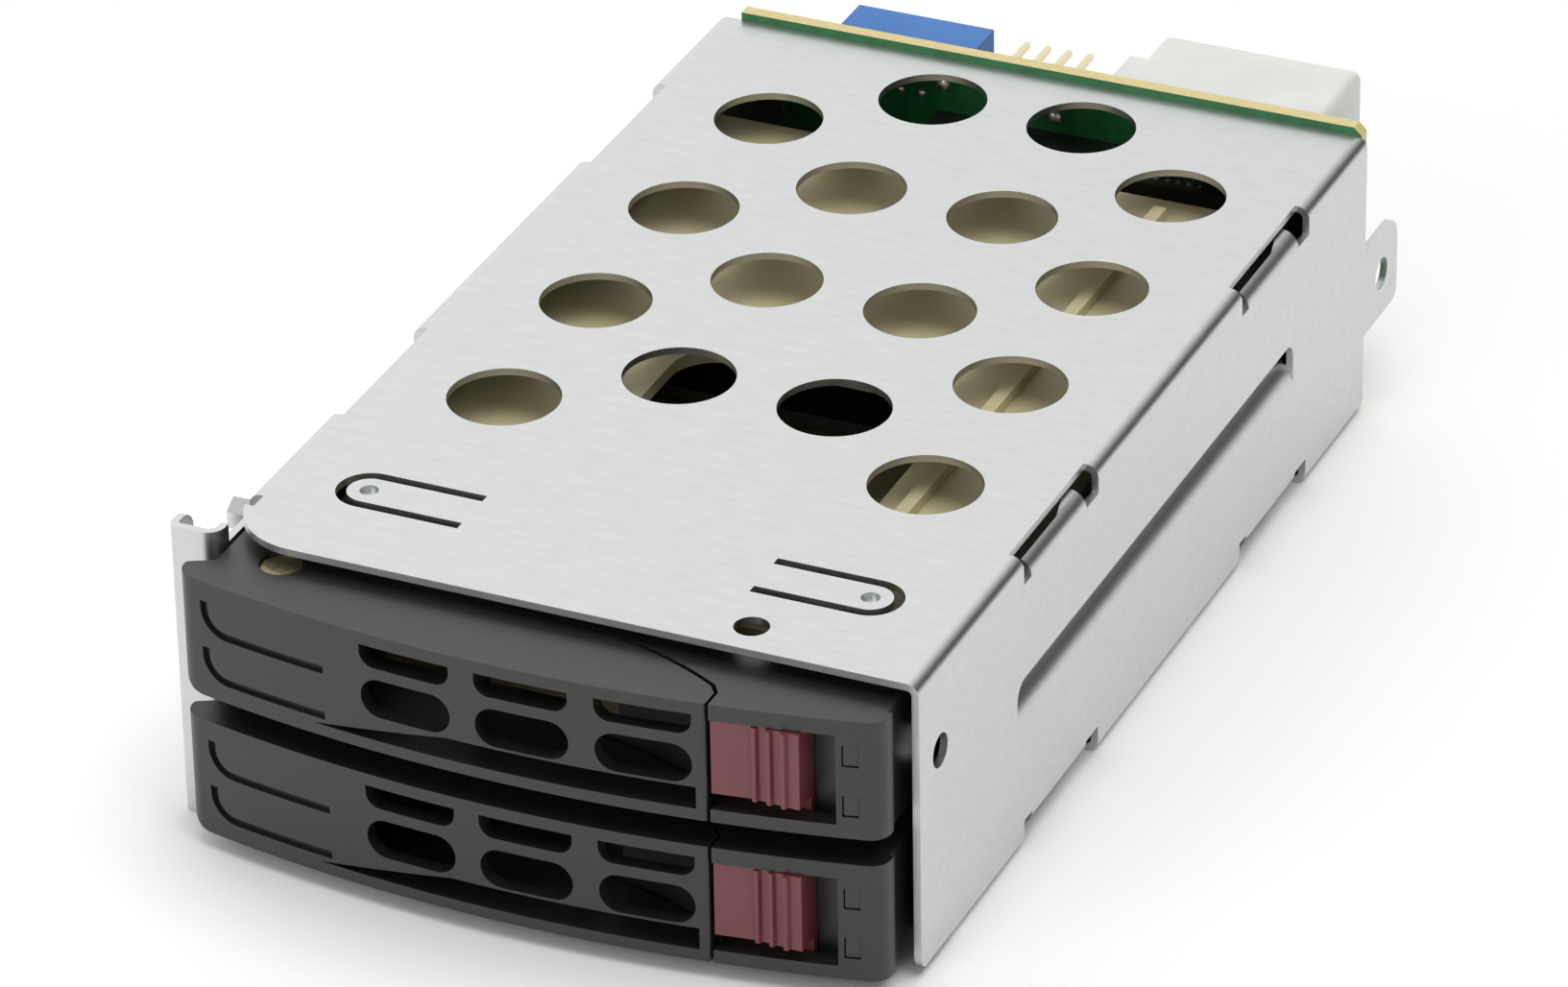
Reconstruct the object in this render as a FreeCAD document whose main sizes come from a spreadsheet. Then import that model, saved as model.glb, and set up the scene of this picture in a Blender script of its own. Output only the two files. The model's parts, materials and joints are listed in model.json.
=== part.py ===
import FreeCAD, Part, Sketcher
import math
import os

# Two-bay cage for 2.5 inch drives: folded steel cage, two carriers with swinging levers, backplane.
# Millimetres. X runs across the cage, Y from its front edge to the rear, Z up from its underside.
# Every piece is drawn with Y = 0 at the front edge and is then moved so that the origin lies
# at the middle of the cage's underside. Carrier pieces are drawn from the bezel's lower face.

doc = FreeCAD.newDocument("drive_cage")
sheet = doc.addObject("Spreadsheet::Sheet", "sizes")

SIZES = {
    # Cage
    "cage_width": 78.0,
    "cage_depth": 124.3,
    "cage_height": 34.35,
    "gauge": 0.8,
    "bend_radius": 1.4,
    # Round vents in the top and the floor
    "vent_radius": 6.05,
    "vent_pitch": 22.4,
    "vent_rows": 4,
    "outer_column": 23.8,
    "inner_column": 8.85,
    "outer_first_row": 36.4,
    "inner_first_row": 47.4,
    # Spring fingers cut from the top
    "finger_tip": 27.85,
    "finger_root": 16.2,
    "finger_row": 13.75,
    "finger_half": 2.35,
    "finger_slot": 1.15,
    "dimple_radius": 1.45,
    "dimple_depth": 0.55,
    # Lances across the long bends
    "lance_length": 19.8,
    "lance_front": 26.7,
    "lance_pitch": 60.1,
    "lance_inset": 1.7,
    "lance_drop": 3.2,
    "lance_push": 1.3,
    "tab_bend": 2.0,
    "tab_reach": 1.15,
    "tab_flare": 1.9,
    "tab_end": 2.2,
    "tab_front_gap": 2.0,
    "tab_rear_gap": 3.2,
    # Rail pressed inwards from each side wall
    "rail_front": 24.9,
    "rail_rear": 102.3,
    "rail_slot_top": 20.2,
    "rail_level": 18.4,
    "rail_bend": 3.65,
    "rail_corner": 2.0,
    "rail_reach": 4.1,
    # Front corner, flange and rear ear
    "corner_radius": 8.6,
    "relief_depth": 2.2,
    "floor_setback": 8.0,
    "wall_low": 0.7,
    "wall_corner": 2.0,
    "flange_reach": 4.9,
    "flange_bend": 1.8,
    "flange_drop": 0.2,
    "lip_depth": 4.1,
    "lip_corner": 2.2,
    "ear_length": 10.3,
    "ear_low": 9.45,
    "ear_high": 20.05,
    "ear_corner": 3.0,
    "mount_hole": 1.85,
    "ear_hole_back": 5.3,
    "ear_hole_level": 14.75,
    "top_hole_x": 19.2,
    "top_hole_y": 4.15,
    "side_hole_y": 5.15,
    "side_hole_drop": 10.3,
    # Hex standoff on the left wall
    "standoff_flats": 3.3,
    "standoff_length": 2.8,
    "standoff_y": 10.4,
    "standoff_drop": 3.9,
    "standoff_bore": 0.8,
    # Tabs that hold the backplane
    "tab_width": 8.0,
    "tab_height": 3.2,
    "tab_level": 7.0,
    "tall_tab_low": 5.4,
    "tall_tab_drop": 3.5,
    "board_screw_x": 35.0,
    "board_screw_radius": 1.0,
    "board_thickness": 1.6,
    "board_width": 74.4,
    "board_shift": 1.1,
    "board_proud": 0.9,
    "board_low": 0.6,
    "board_chamfer": 0.9,
    # Connectors behind the backplane
    "signal_width": 16.5,
    "signal_height": 6.0,
    "signal_length": 8.6,
    "signal_left": -26.1,
    "signal_top": 33.35,
    "signal_pitch": 13.0,
    "header_left": -6.6,
    "header_level": 32.45,
    "pin_pitch": 2.54,
    "pin_count": 4,
    "pin_side": 0.64,
    "pin_length": 8.2,
    "power_left": 9.4,
    "power_width": 23.5,
    "power_height": 11.0,
    "power_length": 12.4,
    "power_top": 34.45,
    "power_wall": 1.3,
    "power_pin_pitch": 5.08,
    "power_pin_radius": 1.05,
    # Carrier stack
    "lower_deck": 2.05,
    "deck_pitch": 16.6,
    "bezel_height": 13.6,
    "front_radius": 172.0,
    "front_centre": -2.5,
    "front_reach": 9.35,
    "skin": 1.3,
    "front_skin": 1.6,
    "seam": 0.35,
    # Lever
    "lever_left": -40.3,
    "lever_right": 19.5,
    "toe_front": 1.5,
    "toe_tip": 2.9,
    "toe_root": -37.6,
    "hook_back": 6.4,
    "lever_back": 2.2,
    "seam_end": 0.8,
    "seam_radius": 43.0,
    "pivot_x": -31.2,
    "pivot_y": 0.4,
    "pin_radius": 1.5,
    "pin_head": 2.15,
    "pin_fit": 0.05,
    "pin_recess": 0.15,
    "vent_slot_width": 10.2,
    "vent_slot_pitch": 13.0,
    "vent_slot_first": -13.0,
    "lower_vent_low": 4.1,
    "lower_vent_high": 8.5,
    "upper_vent_low": 9.8,
    "upper_vent_high": 12.2,
    "recess_low": 1.3,
    "recess_high": 3.8,
    "recess_start": -24.0,
    "recess_full": -8.5,
    "grip_left": -37.4,
    "grip_right": -22.5,
    "grip_width": 0.9,
    "grip_depth": 0.6,
    "lever_corner": 2.8,
    # Bezel
    "bezel_right": 37.2,
    "bezel_left": -37.0,
    "bezel_back": 10.0,
    "pocket_low": 1.5,
    "pocket_high": 11.8,
    "pocket_right": 32.5,
    "pocket_floor": 3.1,
    "pocket_wall": 1.3,
    "window_left": 33.1,
    "window_width": 1.65,
    "window_height": 2.4,
    "upper_window": 8.3,
    "lower_window": 2.5,
    "ear_thickness": 1.6,
    "lower_ear": 2.0,
    "upper_ear": 10.0,
    "ear_radius": 2.9,
    # Release button
    "button_travel": 1.6,
    "button_gap": 0.15,
    "button_low": 3.0,
    "button_rise": 0.3,
    "button_face": 7.0,
    "button_flange": 0.9,
    "button_room": 1.8,
    "ridge_first": 4.1,
    "ridge_pitch": 1.55,
    "leg_left": 25.6,
    "leg_width": 1.6,
    "leg_low": 4.6,
    "leg_high": 9.0,
    "leg_back": 2.6,
    "button_spring_radius": 1.1,
    "button_spring_wire": 0.32,
    "spring_level": 6.8,
    "spring_y": 0.7,
    "spring_seat": 0.9,
    "bezel_side": 1.4,
    "bezel_corner": 2.2,
    "bezel_step": 0.5,
    "boss_front": 5.0,
    # Tray and drive blank
    "rail_outer": 36.85,
    "rail_thickness": 1.9,
    "tray_rear": 116.0,
    "tray_height": 12.0,
    "tray_floor": 1.4,
    "runner_inner": 33.4,
    "runner_outer": 34.7,
    "runner_depth": 0.8,
    "tray_front_wall": 2.0,
    "pipe_channel": 1.1,
    "pipe_side": 1.0,
    "blank_front": 13.0,
    "blank_rear": 113.0,
    "blank_half": 34.6,
    "blank_low": 1.8,
    "blank_high": 9.6,
    "blank_shell": 1.5,
    "blank_window_left": -15.0,
    "blank_window_right": 17.0,
    "blank_window_front": 24.0,
    "blank_window_rear": 64.0,
    "drive_screw_front": 26.6,
    "drive_screw_rear": 103.2,
    "drive_screw_level": 6.6,
    "drive_screw_radius": 1.5,
    "drive_screw_head": 2.15,
    "drive_screw_length": 5.0,
    # Drive receptacles in front of the backplane
    "receptacle_left": -12.0,
    "receptacle_width": 42.7,
    "receptacle_low": 3.2,
    "receptacle_height": 5.8,
    "receptacle_length": 7.4,
}


class Size:
    """A number that also keeps the sheet formula it comes from."""

    def __init__(self, value, text):
        self.value = float(value)
        self.text = text

    def __float__(self):
        return self.value

    def __add__(self, other):
        other = as_size(other)
        return Size(self.value + other.value, f"({self.text} + {other.text})")

    def __sub__(self, other):
        other = as_size(other)
        return Size(self.value - other.value, f"({self.text} - {other.text})")

    def __mul__(self, other):
        other = as_size(other)
        return Size(self.value * other.value, f"({self.text} * {other.text})")

    def __truediv__(self, other):
        other = as_size(other)
        return Size(self.value / other.value, f"({self.text} / {other.text})")

    def __neg__(self):
        return Size(-self.value, f"(0 - {self.text})")

    def __radd__(self, other):
        return as_size(other) + self

    def __rsub__(self, other):
        return as_size(other) - self

    def __rmul__(self, other):
        return as_size(other) * self

    def root(self):
        return Size(math.sqrt(self.value), f"sqrt({self.text})")


def as_size(number):
    return number if isinstance(number, Size) else Size(number, f"({number!r})")


class Sheet:
    """Reads each driving dimension from the sheet by its alias."""

    def __getattr__(self, alias):
        return Size(sheet.get(alias), f"sizes.{alias}")


for row, (alias, number) in enumerate(SIZES.items(), start=1):
    sheet.set(f"A{row}", alias)
    sheet.set(f"B{row}", str(number))
    sheet.setAlias(f"B{row}", alias)
doc.recompute()
s = Sheet()

# Places that several pieces share
half_width = s.cage_width / 2
half_inside = half_width - s.gauge
rear_face = s.cage_depth
decks = (s.lower_deck, s.lower_deck + s.deck_pitch)
tab_levels = [deck + s.tab_level for deck in decks]
front_curve_y = s.front_radius - s.front_reach
pitch_fits = 0.3
sin_60 = math.sin(math.radians(60))


def front_at(x, inset=0):
    """Y of the bowed front face at x, moved back by inset."""
    across = x - s.front_centre
    radius = s.front_radius - inset
    return front_curve_y - (radius * radius - across * across).root()


def bind(thing, prop, size):
    thing.setExpression(prop, as_size(size).text)


# Helpers for bodies: a profile is a list of loops, and a loop is a list of corners or a circle.
# A corner (a, b) starts a straight side and (a, b, r) starts an arc of radius r to the next corner,
# anticlockwise where r is positive and clockwise where it is negative.

PLANES = {"x": ("YZ_Plane", 1), "y": ("XZ_Plane", -1), "z": ("XY_Plane", 1)}


def new_body(label):
    body = doc.addObject("PartDesign::Body", label)
    body.Label = label
    return body


def arc_centre(start, end, radius):
    dx, dy = end[0] - start[0], end[1] - start[1]
    chord = math.hypot(dx, dy)
    rise = math.sqrt(max(radius * radius - chord * chord / 4, 0))
    side = 1 if radius > 0 else -1
    across = -side * rise * dy / chord
    along = side * rise * dx / chord
    return (start[0] + end[0]) / 2 + across, (start[1] + end[1]) / 2 + along


def draw_arc(sketch, start, end, radius):
    cx, cy = arc_centre(start, end, radius)
    circle = Part.Circle(FreeCAD.Vector(cx, cy, 0), FreeCAD.Vector(0, 0, 1), abs(radius))
    first = math.atan2(start[1] - cy, start[0] - cx)
    last = math.atan2(end[1] - cy, end[0] - cx)
    if radius < 0:
        first, last = last, first
    if last < first:
        last += 2 * math.pi
    return sketch.addGeometry(Part.ArcOfCircle(circle, first, last), False)


def fix_point(sketch, element, point, a, b):
    for kind, size in (("DistanceX", a), ("DistanceY", b)):
        index = sketch.addConstraint(Sketcher.Constraint(kind, -1, 1, element, point, float(size)))
        bind(sketch, f"Constraints[{index}]", size)


def draw_circle(sketch, a, b, radius):
    circle = Part.Circle(FreeCAD.Vector(float(a), float(b), 0), FreeCAD.Vector(0, 0, 1), float(radius))
    element = sketch.addGeometry(circle, False)
    fix_point(sketch, element, 3, a, b)
    index = sketch.addConstraint(Sketcher.Constraint("Radius", element, float(radius)))
    bind(sketch, f"Constraints[{index}]", radius)


def fix_bend(sketch, element, here, there):
    """Fixes an arc's radius, or the middle of its chord where the arc is a half circle."""
    chord = math.hypot(float(there[0]) - float(here[0]), float(there[1]) - float(here[1]))
    radius = here[2] if float(here[2]) > 0 else -here[2]
    if 2 * float(radius) > chord + 0.001:
        index = sketch.addConstraint(Sketcher.Constraint("Radius", element, float(radius)))
        bind(sketch, f"Constraints[{index}]", radius)
        return
    upright = abs(float(there[1]) - float(here[1])) > abs(float(there[0]) - float(here[0]))
    along = 0 if upright else 1
    middle = (as_size(here[along]) + there[along]) / 2
    kind = "DistanceX" if upright else "DistanceY"
    index = sketch.addConstraint(Sketcher.Constraint(kind, -1, 1, element, 3, float(middle)))
    bind(sketch, f"Constraints[{index}]", middle)


def draw_loop(sketch, corners):
    sides = []
    for here, there in zip(corners, corners[1:] + corners[:1]):
        start = (float(here[0]), float(here[1]))
        end = (float(there[0]), float(there[1]))
        if len(here) == 3:
            radius = float(here[2])
            element = draw_arc(sketch, start, end, radius)
            ends = (1, 2) if radius > 0 else (2, 1)
            fix_bend(sketch, element, here, there)
        else:
            line = Part.LineSegment(FreeCAD.Vector(*start, 0), FreeCAD.Vector(*end, 0))
            element = sketch.addGeometry(line, False)
            ends = (1, 2)
        sides.append((element, ends))
    joints = zip(sides, sides[1:] + sides[:1], corners[1:] + corners[:1])
    for (element, ends), (after, after_ends), corner in joints:
        sketch.addConstraint(Sketcher.Constraint("Coincident", element, ends[1], after, after_ends[0]))
        fix_point(sketch, after, after_ends[0], corner[0], corner[1])


def new_sketch(body, axis, start, profile):
    role, sign = PLANES[axis]
    sketch = body.newObject("Sketcher::SketchObject", f"{body.Name}_sketch")
    plane = [feature for feature in body.Origin.OriginFeatures if feature.Role == role][0]
    sketch.AttachmentSupport = [(plane, "")]
    sketch.MapMode = "FlatFace"
    bind(sketch, "AttachmentOffset.Base.z", as_size(start) * sign)
    for loop in profile:
        if isinstance(loop, tuple):
            draw_circle(sketch, *loop)
        else:
            draw_loop(sketch, loop)
    return sketch


def add(body, axis, start, length, profile):
    """Adds material from start over length along the axis."""
    sketch = new_sketch(body, axis, start, profile)
    pad = body.newObject("PartDesign::Pad", f"{body.Name}_pad")
    pad.Profile = sketch
    pad.Reversed = axis == "y"
    bind(pad, "Length", length)
    return pad


def remove(body, axis, start, length, profile):
    """Cuts material away from start over length along the axis."""
    sketch = new_sketch(body, axis, start, profile)
    pocket = body.newObject("PartDesign::Pocket", f"{body.Name}_pocket")
    pocket.Profile = sketch
    pocket.Reversed = axis != "y"
    bind(pocket, "Length", length)
    return pocket


def repeat(body, feature, axis, pitch, count):
    """Repeats one feature along a principal axis of the body."""
    pattern = body.newObject("PartDesign::LinearPattern", f"{body.Name}_pattern")
    pattern.Originals = [feature]
    line = [part for part in body.Origin.OriginFeatures if part.Role == f"{axis.upper()}_Axis"][0]
    pattern.Direction = (line, [""])
    bind(pattern, "Length", as_size(pitch) * (as_size(count) - 1))
    bind(pattern, "Occurrences", count)
    body.Tip = pattern
    return pattern


def round_edges(body, radius, chosen):
    """Rounds the edges of the body's last shape that the test picks."""
    doc.recompute()
    base = body.Tip
    names = [f"Edge{number}" for number, edge in enumerate(base.Shape.Edges, start=1) if chosen(edge)]
    fillet = body.newObject("PartDesign::Fillet", f"{body.Name}_fillet")
    fillet.Base = (base, names)
    bind(fillet, "Radius", radius)
    return fillet


def runs_along(axis, *places):
    """Picks straight edges along an axis that pass through one of the places, in X, Y, Z order."""
    direction = {"x": 0, "y": 1, "z": 2}[axis]
    across = [index for index in range(3) if index != direction]

    def chosen(edge):
        ends = [vertex.Point for vertex in edge.Vertexes]
        if len(ends) != 2:
            return False
        if any(abs(ends[0][index] - ends[1][index]) > 0.001 for index in across):
            return False
        middle = [ends[0][index] for index in across]
        return any(math.dist(middle, [float(place[0]), float(place[1])]) < 0.01 for place in places)

    return chosen


def rectangle(low_a, low_b, high_a, high_b):
    return [(low_a, low_b), (high_a, low_b), (high_a, high_b), (low_a, high_b)]


def mirrored(loop):
    """The loop on the other side of the second axis, kept anticlockwise."""
    corners = []
    for index in range(len(loop) - 1, -1, -1):
        before = loop[index - 1]
        corner = (-as_size(loop[index][0]), loop[index][1])
        corners.append(corner + ((before[2],) if len(before) == 3 else ()))
    return corners


def flipped(loop, height):
    """The loop turned upside down within a height, kept anticlockwise."""
    corners = []
    for index in range(len(loop) - 1, -1, -1):
        before = loop[index - 1]
        corner = (loop[index][0], as_size(height) - loop[index][1])
        corners.append(corner + ((before[2],) if len(before) == 3 else ()))
    return corners


def four_ways(loop, height):
    return [loop, mirrored(loop), flipped(loop, height), flipped(mirrored(loop), height)]


# Helpers for primitives

def place(thing, x=0, y=0, z=0):
    for axis, size in zip("xyz", (x, y, z)):
        bind(thing, f"Placement.Base.{axis}", size)


def block(label, low, size):
    solid = doc.addObject("Part::Box", label)
    for prop, length in zip(("Length", "Width", "Height"), size):
        bind(solid, prop, length)
    place(solid, *low)
    return solid


TURNS = {
    "x": FreeCAD.Rotation(FreeCAD.Vector(0, 1, 0), 90),
    "y": FreeCAD.Rotation(FreeCAD.Vector(1, 0, 0), -90),
    "z": FreeCAD.Rotation(),
}


def rod(label, axis, start, radius, length):
    """A cylinder that starts at a point and runs along +X, +Y or +Z."""
    solid = doc.addObject("Part::Cylinder", label)
    solid.Placement = FreeCAD.Placement(FreeCAD.Vector(), TURNS[axis])
    bind(solid, "Radius", radius)
    bind(solid, "Height", length)
    place(solid, *start)
    return solid


def hexagon(label, axis, start, flats, length):
    solid = doc.addObject("Part::Prism", label)
    solid.Polygon = 6
    solid.Placement = FreeCAD.Placement(FreeCAD.Vector(), TURNS[axis])
    bind(solid, "Circumradius", as_size(flats) / 2 / sin_60)
    bind(solid, "Height", length)
    place(solid, *start)
    return solid


def join(label, pieces):
    whole = doc.addObject("Part::MultiFuse", label)
    whole.Shapes = pieces
    return whole


def cut(label, base, tools):
    result = doc.addObject("Part::Cut", label)
    result.Base = base
    result.Tool = tools[0] if len(tools) == 1 else join(f"{label}_tools", tools)
    return result


def group(label, pieces):
    """Separate identical solids that share one node."""
    whole = doc.addObject("Part::Compound", label)
    whole.Links = pieces
    return whole


def coil_spring(label, centre, radius, wire, length, turns, axis):
    """A round-wire coil that starts at the centre point and runs along the axis, in its own group."""
    spine = doc.addObject("Part::Helix", f"{label}_spine")
    bind(spine, "Radius", radius)
    bind(spine, "Pitch", as_size(length) / turns)
    bind(spine, "Height", length)
    section = doc.addObject("Part::Circle", f"{label}_section")
    bind(section, "Radius", as_size(wire) / 2)
    section.Placement = FreeCAD.Placement(FreeCAD.Vector(), FreeCAD.Rotation(FreeCAD.Vector(1, 0, 0), 90))
    bind(section, "Placement.Base.x", radius)
    sweep = doc.addObject("Part::Sweep", label)
    sweep.Sections = [section]
    sweep.Spine = (spine, [])
    sweep.Solid = True
    sweep.Frenet = True
    sweep.Placement = FreeCAD.Placement(FreeCAD.Vector(), TURNS[axis])
    place(sweep, *centre)
    return group(f"{label}_wire", [sweep])


nodes = {}


def keep(node, shape, deck=0):
    """Names a finished piece and moves it from the drawing frame to the cage's own frame."""
    shape.Label = node
    base = shape.Placement.Base
    shape.Placement = FreeCAD.Placement(FreeCAD.Vector(base), shape.Placement.Rotation)
    bind(shape, "Placement.Base.y", -s.cage_depth / 2)
    bind(shape, "Placement.Base.z", deck)
    nodes[node] = shape


# Cage shell: one folded sheet wrapped round both bays

def shell_section():
    outer = rectangle(-half_width, 0, half_width, s.cage_height)
    inner = rectangle(-half_inside, s.gauge, half_inside, s.cage_height - s.gauge)
    return [outer, inner]


def vent_holes(body, level):
    depth = s.gauge + 2
    for column, first in ((s.outer_column, s.outer_first_row), (s.inner_column, s.inner_first_row)):
        circles = [(side * column + pitch_fits, first, s.vent_radius) for side in (-1, 1)]
        holes = remove(body, "z", level - 1, depth, circles)
        repeat(body, holes, "y", s.vent_pitch, s.vent_rows)


def finger_loop(side):
    """A hairpin slot whose rounded end points to the side wall."""
    low, high = s.finger_row - s.finger_half, s.finger_row + s.finger_half
    outer = s.finger_half + s.finger_slot
    far_low, far_high = s.finger_row - outer, s.finger_row + outer
    root, tip = s.finger_root, s.finger_tip
    loop = [
        (root, far_low), (tip, far_low, outer), (tip, far_high), (root, far_high),
        (root, high), (tip, high, -s.finger_half), (tip, low), (root, low),
    ]
    return loop if side > 0 else mirrored(loop)


def lance_tab_loop():
    """The strip of the bend between the cuts, pushed inwards as a guide."""
    level = lance_tab_level()
    centre = half_width - s.tab_bend
    inner = s.tab_bend - s.gauge
    base = level - 0.6
    return [
        (half_width, base), (half_width, level, s.tab_bend), (centre, level + s.tab_bend),
        (centre, level + inner, -inner), (centre + inner, level), (centre + inner, base),
    ]


def lance_tab_level():
    return s.cage_height - s.tab_bend - s.lance_push


def lance_trim_loop():
    """Seen from above, what is cut off the pushed strip so that only its rear end reaches far in."""
    start = s.lance_front + s.tab_front_gap - 0.5
    end = s.lance_front + s.lance_length - s.tab_rear_gap
    root = half_width - s.tab_bend
    near, far = half_width - s.tab_reach, half_width - s.tab_flare
    return [(root - 0.5, start), (near, start), (near, end - 2.4 * s.tab_end), (far, end - s.tab_end),
            (far, end + 0.5), (root - 0.5, end + 0.5)]


def rail_slot_loop():
    """The slot above the fold in a side wall, with rounded upper corners."""
    front, rear, corner = s.rail_front, s.rail_rear, s.rail_corner
    low, high = s.rail_level - s.rail_bend, s.rail_slot_top
    return [(front, low), (rear, low), (rear, high - corner, corner), (rear - corner, high),
            (front + corner, high, corner), (front, high - corner)]


def rail_loop():
    """The side wall turned inwards below its slot, as a shelf for the upper carrier."""
    tangent = s.rail_level - s.rail_bend
    inner = s.rail_bend - s.gauge
    centre = half_width - s.rail_bend
    return [
        (half_width, tangent - 0.5), (half_width, tangent, s.rail_bend),
        (centre, s.rail_level), (half_width - s.rail_reach, s.rail_level),
        (half_width - s.rail_reach, s.rail_level - s.gauge),
        (centre, s.rail_level - s.gauge, -inner), (centre + inner, tangent),
        (centre + inner, tangent - 0.5),
    ]


def cage_shell():
    body = new_body("cage_shell")
    top = s.cage_height
    add(body, "y", 0, s.cage_depth, shell_section())
    corners = [(x, z) for x in (-half_width, half_width) for z in (as_size(0), top)]
    round_edges(body, s.bend_radius, runs_along("y", *corners))
    corners = [(x, z) for x in (-half_inside, half_inside) for z in (s.gauge, top - s.gauge)]
    round_edges(body, s.bend_radius - s.gauge, runs_along("y", *corners))
    for level in (as_size(0), top - s.gauge):
        vent_holes(body, level)
    remove(body, "z", top - s.gauge - 1, s.gauge + 2, [finger_loop(-1), finger_loop(1)])
    lance_cut = rectangle(half_width - s.lance_inset, top - s.lance_drop, half_width + 1, top + 1)
    cuts = remove(body, "y", s.lance_front, s.lance_length, four_ways(lance_cut, top))
    repeat(body, cuts, "y", s.lance_pitch, 2)
    tab_length = s.lance_length - s.tab_front_gap - s.tab_rear_gap
    tabs = add(body, "y", s.lance_front + s.tab_front_gap, tab_length, four_ways(lance_tab_loop(), top))
    repeat(body, tabs, "y", s.lance_pitch, 2)
    trims = [lance_trim_loop(), mirrored(lance_trim_loop())]
    room = s.lance_push - s.gauge
    for level in (lance_tab_level(), room / 2 + s.gauge):
        trimmed = remove(body, "z", level, s.tab_bend + room / 2, trims)
        repeat(body, trimmed, "y", s.lance_pitch, 2)
    for start in (-half_width - 1, half_inside - 1):
        remove(body, "x", start, s.gauge + 2, [rail_slot_loop()])
    add(body, "y", s.rail_front, s.rail_rear - s.rail_front, [rail_loop(), mirrored(rail_loop())])
    front_left_corner(body)
    open_front_floor(body)
    front_flange(body)
    rear_ear(body)
    backplane_tabs(body)
    remove(body, "z", top - s.gauge - 1, s.gauge + 2, [(s.top_hole_x, s.top_hole_y, s.mount_hole)])
    side_hole = [(s.side_hole_y, top - s.side_hole_drop, s.mount_hole)]
    remove(body, "x", half_inside - 1, s.gauge + 2, side_hole)
    standoff_hole = [(s.standoff_y, top - s.standoff_drop, s.standoff_bore)]
    remove(body, "x", -half_width - 1, s.gauge + 2, standoff_hole)
    for side in (-1, 1):
        dimple = [(side * s.finger_tip, s.finger_row, s.dimple_radius)]
        add(body, "z", top - s.gauge - s.dimple_depth, s.dimple_depth, dimple)
        dish = [(side * s.finger_tip, s.finger_row, s.dimple_radius - 0.45)]
        remove(body, "z", top - s.dimple_depth, s.dimple_depth + 1, dish)
    return body


def front_left_corner(body):
    """The top's front left corner stands free of the wall and is rounded."""
    top = s.cage_height
    edge = half_width - s.lance_inset
    radius = s.corner_radius
    zone = rectangle(-half_width - 1, -1, -edge, radius)
    remove(body, "z", top - s.relief_depth, s.relief_depth + 1, [zone])
    outer = -half_width + 0.4
    centre = outer + radius
    quarter = [(centre, 0), (centre, radius), (outer, radius, radius)]
    sharp = rectangle(-half_width - 1, -1, centre, radius)
    remove(body, "z", top - s.gauge - 1, s.gauge + 2, [sharp])
    add(body, "z", top - s.gauge, s.gauge, [quarter])
    notch = rectangle(-half_width - 1, radius - 2.2, -edge, radius)
    remove(body, "z", top - s.gauge - 0.5, s.gauge + 1, [notch])


def open_front_floor(body):
    """The floor starts behind the front edge, where the right wall ends in a rounded corner."""
    strip = rectangle(-half_width + s.bend_radius, -1, half_inside, s.floor_setback)
    remove(body, "z", -1, s.bend_radius + 1, [strip])
    low, corner = s.wall_low, s.wall_corner
    below = [(-1, -1), (s.floor_setback, -1), (s.floor_setback, low), (corner, low, -corner),
             (0, low + corner), (-1, low + corner)]
    remove(body, "x", half_inside - 1, s.gauge + 2, [below])


def front_flange(body):
    """The left wall turns outwards at the front, with a lip turned back along its free edge."""
    bend = s.flange_bend
    wall = rectangle(-half_width - 1, -1, -half_inside, bend + 0.2)
    remove(body, "z", s.bend_radius, s.cage_height, [wall])
    outer = -half_width - s.flange_reach
    free = outer + s.gauge
    edge = s.gauge * 1.2
    lip = [(outer + edge, 0, -edge), (outer, edge), (outer, s.lip_depth), (free, s.lip_depth),
           (free, s.gauge * 1.5, s.gauge / 2), (free + s.gauge / 2, s.gauge)]
    back = bend + 0.7
    plate = [(-half_inside - bend, s.gauge, bend - s.gauge), (-half_width, bend), (-half_width, back),
             (-half_inside, back), (-half_inside, bend, -bend), (-half_inside - bend, 0)]
    high = s.cage_height - s.flange_drop
    add(body, "z", s.bend_radius, high - s.bend_radius, [lip + plate])
    foot = [(-half_inside - bend, s.gauge), (-half_inside - bend, 0)]
    add(body, "z", 0, s.bend_radius + 0.1, [lip + foot])
    lip_corners = [(s.lip_depth, as_size(0)), (s.lip_depth, high)]
    round_edges(body, s.lip_corner, runs_along("x", *lip_corners))


def rear_ear(body):
    """A mounting ear that carries the right wall on past the backplane."""
    back = rear_face + s.ear_length
    add(body, "x", half_inside, s.gauge, [rectangle(rear_face - 1, s.ear_low, back, s.ear_high)])
    round_edges(body, s.ear_corner, runs_along("x", (back, s.ear_high)))
    round_edges(body, s.ear_corner / 2, runs_along("x", (back, s.ear_low)))
    hole = [(rear_face + s.ear_hole_back, s.ear_hole_level, s.mount_hole)]
    remove(body, "x", half_inside - 1, s.gauge + 2, hole)


def backplane_tabs(body):
    """Two short tabs on the right and a tall one on the left, tapped for the board's screws."""
    inner, outer = half_width - s.tab_width, half_width - s.gauge / 2
    loops = [rectangle(-outer, s.tall_tab_low, -inner, s.cage_height - s.tall_tab_drop)]
    for level in tab_levels:
        loops.append(rectangle(inner, level - s.tab_height / 2, outer, level + s.tab_height / 2))
    add(body, "y", rear_face - s.gauge, s.gauge, loops)
    remove(body, "y", rear_face - s.gauge - 1, s.gauge + 2, board_holes())


def board_holes():
    return [(side * s.board_screw_x, level, s.board_screw_radius) for side in (-1, 1) for level in tab_levels]


keep("cage_shell", cage_shell())


# Hex standoff pressed into the left wall

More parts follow.
